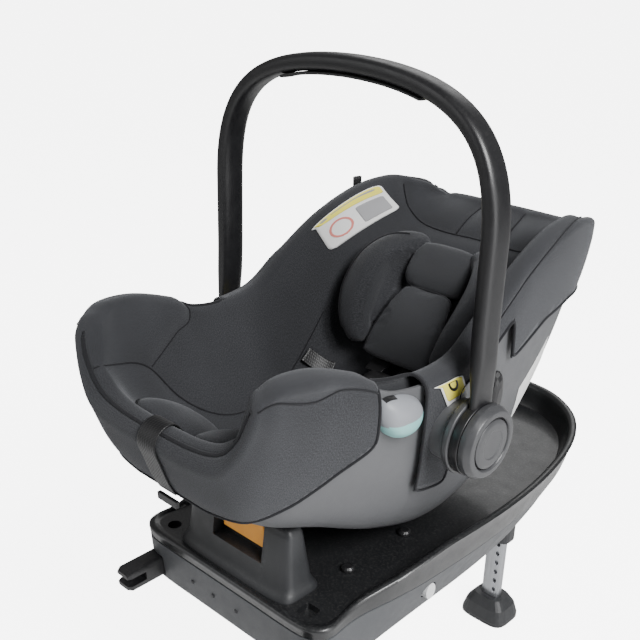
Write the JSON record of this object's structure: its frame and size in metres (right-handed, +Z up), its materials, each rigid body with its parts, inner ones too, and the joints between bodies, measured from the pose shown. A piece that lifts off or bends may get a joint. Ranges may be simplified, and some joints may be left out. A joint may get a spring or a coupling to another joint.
{
  "type": "infant car seat",
  "caption": "Rear-facing infant carrier shell with padded cover, harness and arched handle, clicked into an anchor base with a folding support leg.",
  "frame": {"origin": "middle of the outline at floor level, under the support leg's foot", "axes": "+Z up, foot end of the seat towards -Y, head end towards +Y, X across the seat"},
  "size_m": [0.4516, 0.7442, 0.9921],
  "materials": {
    "knit": "dark heathered knit",
    "knit_light": "dark knit, softer face",
    "shell_grey": "mid grey moulded plastic",
    "black_plastic": "satin black plastic",
    "hub_grey": "satin dark grey plastic",
    "base_dark": "dark slate moulded plastic",
    "base_gloss": "smooth dark plastic",
    "steel": "satin metal",
    "webbing": "black woven webbing",
    "aqua": "pale aqua plastic",
    "orange": "orange label plate",
    "white_label": "white label film",
    "yellow_label": "yellow woven tag",
    "white_plastic": "white plastic button",
    "red": "red plastic button"
  },
  "bodies": {
    "base": {"base_housing": "base_dark", "base_cover": "base_gloss", "front_tower": "base_dark", "orange_plate": "orange", "deck_stud_front_right": "black_plastic", "deck_stud_front_left": "black_plastic", "deck_stud_rear_right": "black_plastic", "deck_stud_rear_left": "black_plastic", "leg_bracket": "base_dark", "leg_pin": "steel"},
    "release_button_right_body": {"side_release_button_right": "white_plastic"},
    "release_button_left_body": {"side_release_button_left": "white_plastic"},
    "connector_right_body": {"connector_right": "black_plastic", "connector_bar_right": "steel"},
    "connector_left_body": {"connector_left": "black_plastic", "connector_bar_left": "steel"},
    "leg": {"leg_upper": "steel", "leg_collar": "base_dark"},
    "leg_button_body": {"leg_button": "white_plastic"},
    "leg_extension": {"leg_lower": "steel", "leg_foot": "base_dark"},
    "carrier": {"seat_shell": "shell_grey", "foot_cover": "knit", "seat_padding": "knit", "head_cover": "knit", "adjuster_flap": "knit_light", "body_insert": "knit_light", "shoulder_pad_right": "knit_light", "shoulder_pad_left": "knit_light", "shoulder_strap_right": "webbing", "shoulder_strap_left": "webbing", "buckle": "black_plastic", "crotch_strap": "webbing", "crotch_pad": "knit_light", "lap_strap_right": "webbing", "lap_strap_left": "webbing", "adjuster_webbing": "webbing", "webbing_end": "black_plastic", "belt_guide_right": "aqua", "belt_guide_left": "aqua", "warning_patch": "white_label", "side_tag_right": "yellow_label", "side_tag_left": "yellow_label", "side_label_right": "white_label", "side_label_left": "white_label", "canopy_clip_right": "black_plastic", "canopy_clip_left": "black_plastic", "rear_belt_hook": "aqua", "hub_housing_right": "hub_grey", "hub_housing_left": "hub_grey"},
    "release_lever_body": {"release_lever": "black_plastic"},
    "headrest_body": {"headrest": "knit", "head_pillow": "knit_light"},
    "buckle_button_body": {"buckle_button": "red"},
    "handle": {"handle_arch": "black_plastic", "handle_grip": "black_plastic", "hub_cap_right": "hub_grey", "hub_cap_left": "hub_grey"},
    "handle_button_right_body": {"handle_button_right": "hub_grey"},
    "handle_button_left_body": {"handle_button_left": "hub_grey"}
  },
  "joints": [
    {"name": "side_release_right", "type": "slide", "parent": "base", "child": "release_button_right_body", "axis": [-1, 0, 0], "range_m": [0, 0.004], "stiffness_N_per_m": 600},
    {"name": "side_release_left", "type": "slide", "parent": "base", "child": "release_button_left_body", "axis": [1, 0, 0], "range_m": [0, 0.004], "stiffness_N_per_m": 600},
    {"name": "connector_slide_right", "type": "slide", "parent": "base", "child": "connector_right_body", "axis": [0, -1, 0], "range_m": [0, 0.07]},
    {"name": "connector_slide_left", "type": "slide", "parent": "base", "child": "connector_left_body", "axis": [0, -1, 0], "range_m": [0, 0.07]},
    {"name": "leg_fold", "type": "hinge", "parent": "base", "child": "leg", "pos_m": [0, 0.33625, 0.33], "axis": [-1, 0, 0], "range_deg": [0, 80]},
    {"name": "leg_length", "type": "slide", "parent": "leg", "child": "leg_extension", "axis": [0, 0, -1], "range_m": [0, 0.08]},
    {"name": "leg_button_press", "type": "slide", "parent": "leg", "child": "leg_button_body", "axis": [0, 1, 0], "range_m": [0, 0.003], "stiffness_N_per_m": 600},
    {"name": "carrier_lift", "type": "slide", "parent": "base", "child": "carrier", "axis": [0, 0, 1], "range_m": [0, 0.25]},
    {"name": "release_lever_pull", "type": "slide", "parent": "carrier", "child": "release_lever_body", "axis": [0, 0.6248, 0.7808], "range_m": [0, 0.008], "stiffness_N_per_m": 900},
    {"name": "headrest_height", "type": "slide", "parent": "carrier", "child": "headrest_body", "axis": [0, 0.6702, 0.7422], "range_m": [0, 0.04]},
    {"name": "buckle_release", "type": "slide", "parent": "carrier", "child": "buckle_button_body", "axis": [0, 0.7422, -0.6702], "range_m": [0, 0.003], "stiffness_N_per_m": 800},
    {"name": "handle_turn", "type": "hinge", "parent": "carrier", "child": "handle", "pos_m": [0, -0.07375, 0.62], "axis": [1, 0, 0], "range_deg": [-50, 105]},
    {"name": "handle_button_press_right", "type": "slide", "parent": "handle", "child": "handle_button_right_body", "axis": [-1, 0, 0], "range_m": [0, 0.0028], "stiffness_N_per_m": 900},
    {"name": "handle_button_press_left", "type": "slide", "parent": "handle", "child": "handle_button_left_body", "axis": [1, 0, 0], "range_m": [0, 0.0028], "stiffness_N_per_m": 900}
  ]
}
